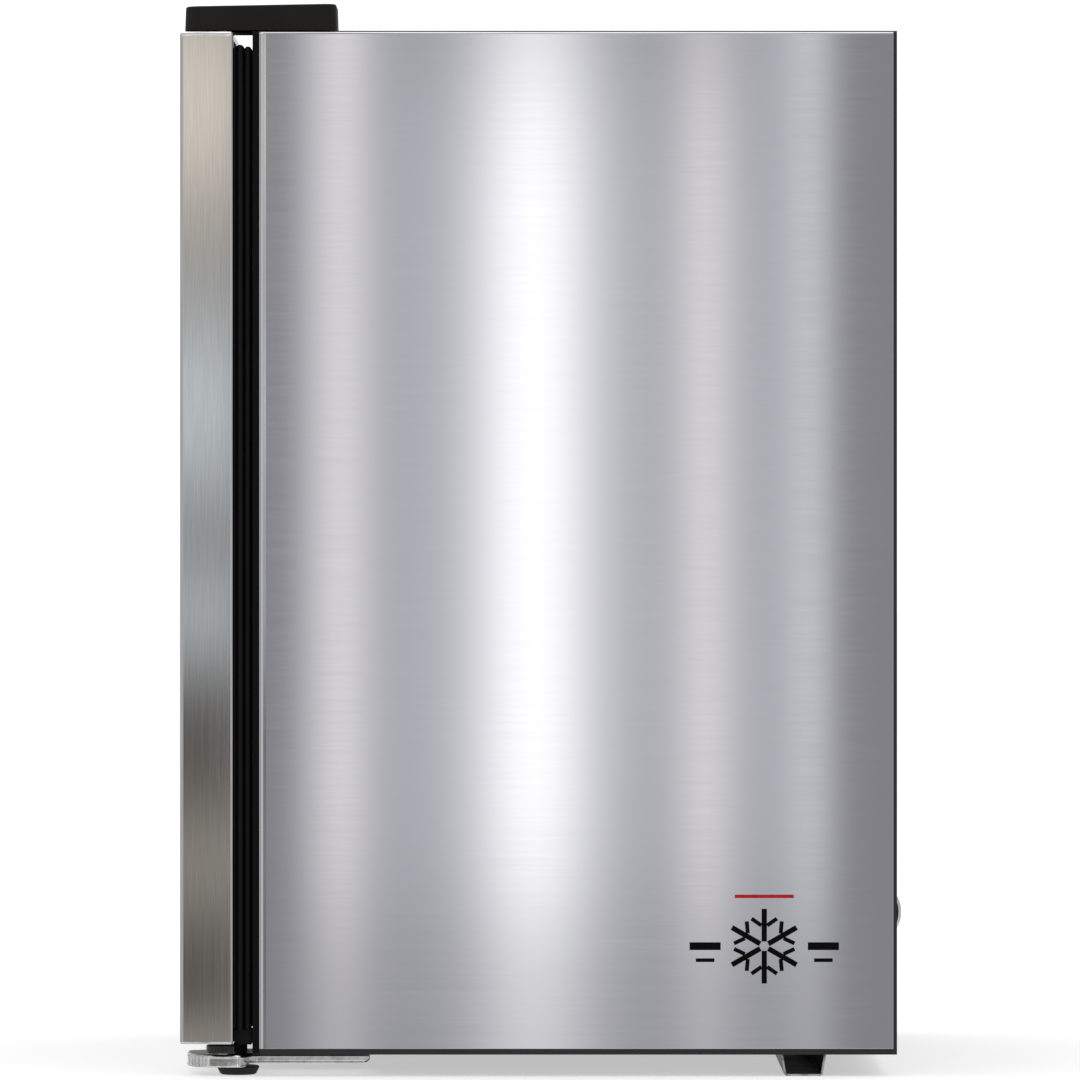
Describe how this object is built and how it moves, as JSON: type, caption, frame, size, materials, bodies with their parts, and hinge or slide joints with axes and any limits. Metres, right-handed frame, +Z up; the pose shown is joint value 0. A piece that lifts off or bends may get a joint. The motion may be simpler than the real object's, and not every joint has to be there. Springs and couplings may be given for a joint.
{
  "type": "mini fridge",
  "caption": "Upright bar fridge: steel cabinet, hinged framed glass door on a magnetic gasket, wire shelves, lit lined cavity, thermostat, and a compressor bay open at the back.",
  "frame": {"origin": "on the floor under the centre of the bounding box", "axes": "+Z up, -Y is the door's front face, +X is the hinge side"},
  "size_m": [0.43, 0.465, 0.69],
  "materials": {
    "side_steel": "brushed stainless-look sheet",
    "door_steel": "brushed stainless sheet",
    "black_steel": "black paint on sheet steel",
    "black_plastic": "black moulded plastic",
    "rubber": "black rubber and soft vinyl",
    "zinc": "bright zinc plate",
    "galvanised": "galvanised sheet",
    "liner": "light grey vacuum-formed liner",
    "white_plastic": "off-white moulded plastic",
    "foam": null,
    "glass": "clear toughened glass",
    "aluminium": "satin aluminium",
    "copper": null,
    "chrome_wire": "chromed steel wire",
    "magnet": "flexible magnet strip",
    "lens": "frosted diffuser"
  },
  "bodies": {
    "cabinet": {"side_panel_right": "side_steel", "side_panel_left": "side_steel", "cabinet_shell": "black_steel", "back_panel": "black_steel", "base_plate": "black_steel", "compressor_tray": "black_steel", "compressor": "black_steel", "insulation_foam": "foam", "inner_liner": "liner", "front_frame": "black_plastic", "cord_gland": "black_plastic", "compressor_terminal_cover": "black_plastic", "hinge_cover": "black_plastic", "compressor_bay_shield": "galvanised", "compressor_grommet_1": "rubber", "compressor_grommet_2": "rubber", "compressor_grommet_3": "rubber", "compressor_grommet_4": "rubber", "filter_drier": "copper", "suction_tube": "copper", "discharge_tube": "copper", "condenser_coil_right": "copper", "condenser_coil_left": "copper", "evaporation_tray": "white_plastic", "drain_tube": "white_plastic", "thermostat_housing": "white_plastic", "thermostat_switch": "white_plastic", "evaporator_plate": "aluminium", "light_housing": "aluminium", "light_lens": "lens", "top_hinge_plate": "zinc", "top_hinge_pin": "zinc", "top_hinge_screw_1": "zinc", "top_hinge_screw_2": "zinc", "bottom_hinge_bracket": "zinc", "bottom_hinge_pin": "zinc", "bottom_hinge_screw_1": "zinc", "bottom_hinge_screw_2": "zinc"},
    "door": {"door_rail_bottom": "door_steel", "door_stile_handle": "door_steel", "door_rail_top": "door_steel", "door_stile_hinge": "door_steel", "door_inner_frame": "black_plastic", "glass_outer": "glass", "glass_middle": "glass", "glass_inner": "glass", "glazing_spacer_front": "aluminium", "glazing_spacer_rear": "aluminium", "door_gasket": "rubber", "gasket_magnet": "magnet", "handle_grip": "black_plastic", "door_bush_top": "black_plastic", "door_bush_bottom": "black_plastic"},
    "shelf_upper_body": {"shelf_upper": "chrome_wire"},
    "shelf_middle_body": {"shelf_middle": "chrome_wire"},
    "shelf_lower_body": {"shelf_lower": "chrome_wire"},
    "knob_body": {"thermostat_knob": "white_plastic"},
    "switch_body": {"light_switch": "black_plastic"},
    "foot_right_body": {"front_foot_right": "rubber"},
    "foot_left_body": {"front_foot_left": "rubber"}
  },
  "joints": [
    {"name": "door_hinge", "type": "hinge", "parent": "cabinet", "child": "door", "pos_m": [0.203, -0.205, 0.34], "axis": [0, 0, 1], "range_deg": [0, 110]},
    {"name": "shelf_upper_slide", "type": "slide", "parent": "cabinet", "child": "shelf_upper_body", "axis": [0, -1, 0], "range_m": [0, 0.03]},
    {"name": "shelf_middle_slide", "type": "slide", "parent": "cabinet", "child": "shelf_middle_body", "axis": [0, -1, 0], "range_m": [0, 0.03]},
    {"name": "shelf_lower_slide", "type": "slide", "parent": "cabinet", "child": "shelf_lower_body", "axis": [0, -1, 0], "range_m": [0, 0.03]},
    {"name": "thermostat_turn", "type": "hinge", "parent": "cabinet", "child": "knob_body", "pos_m": [0.138, -0.106, 0.613], "axis": [0, -1, 0], "range_deg": [0, 290]},
    {"name": "light_switch_rock", "type": "hinge", "parent": "cabinet", "child": "switch_body", "pos_m": [0.092, -0.095, 0.613], "axis": [1, 0, 0], "range_deg": [0, 16]},
    {"name": "foot_right_turn", "type": "hinge", "parent": "cabinet", "child": "foot_right_body", "pos_m": [0.188, -0.196, 0.01], "axis": [0, 0, 1], "continuous": true},
    {"name": "foot_left_turn", "type": "hinge", "parent": "cabinet", "child": "foot_left_body", "pos_m": [-0.188, -0.16, 0.01], "axis": [0, 0, 1], "continuous": true}
  ]
}
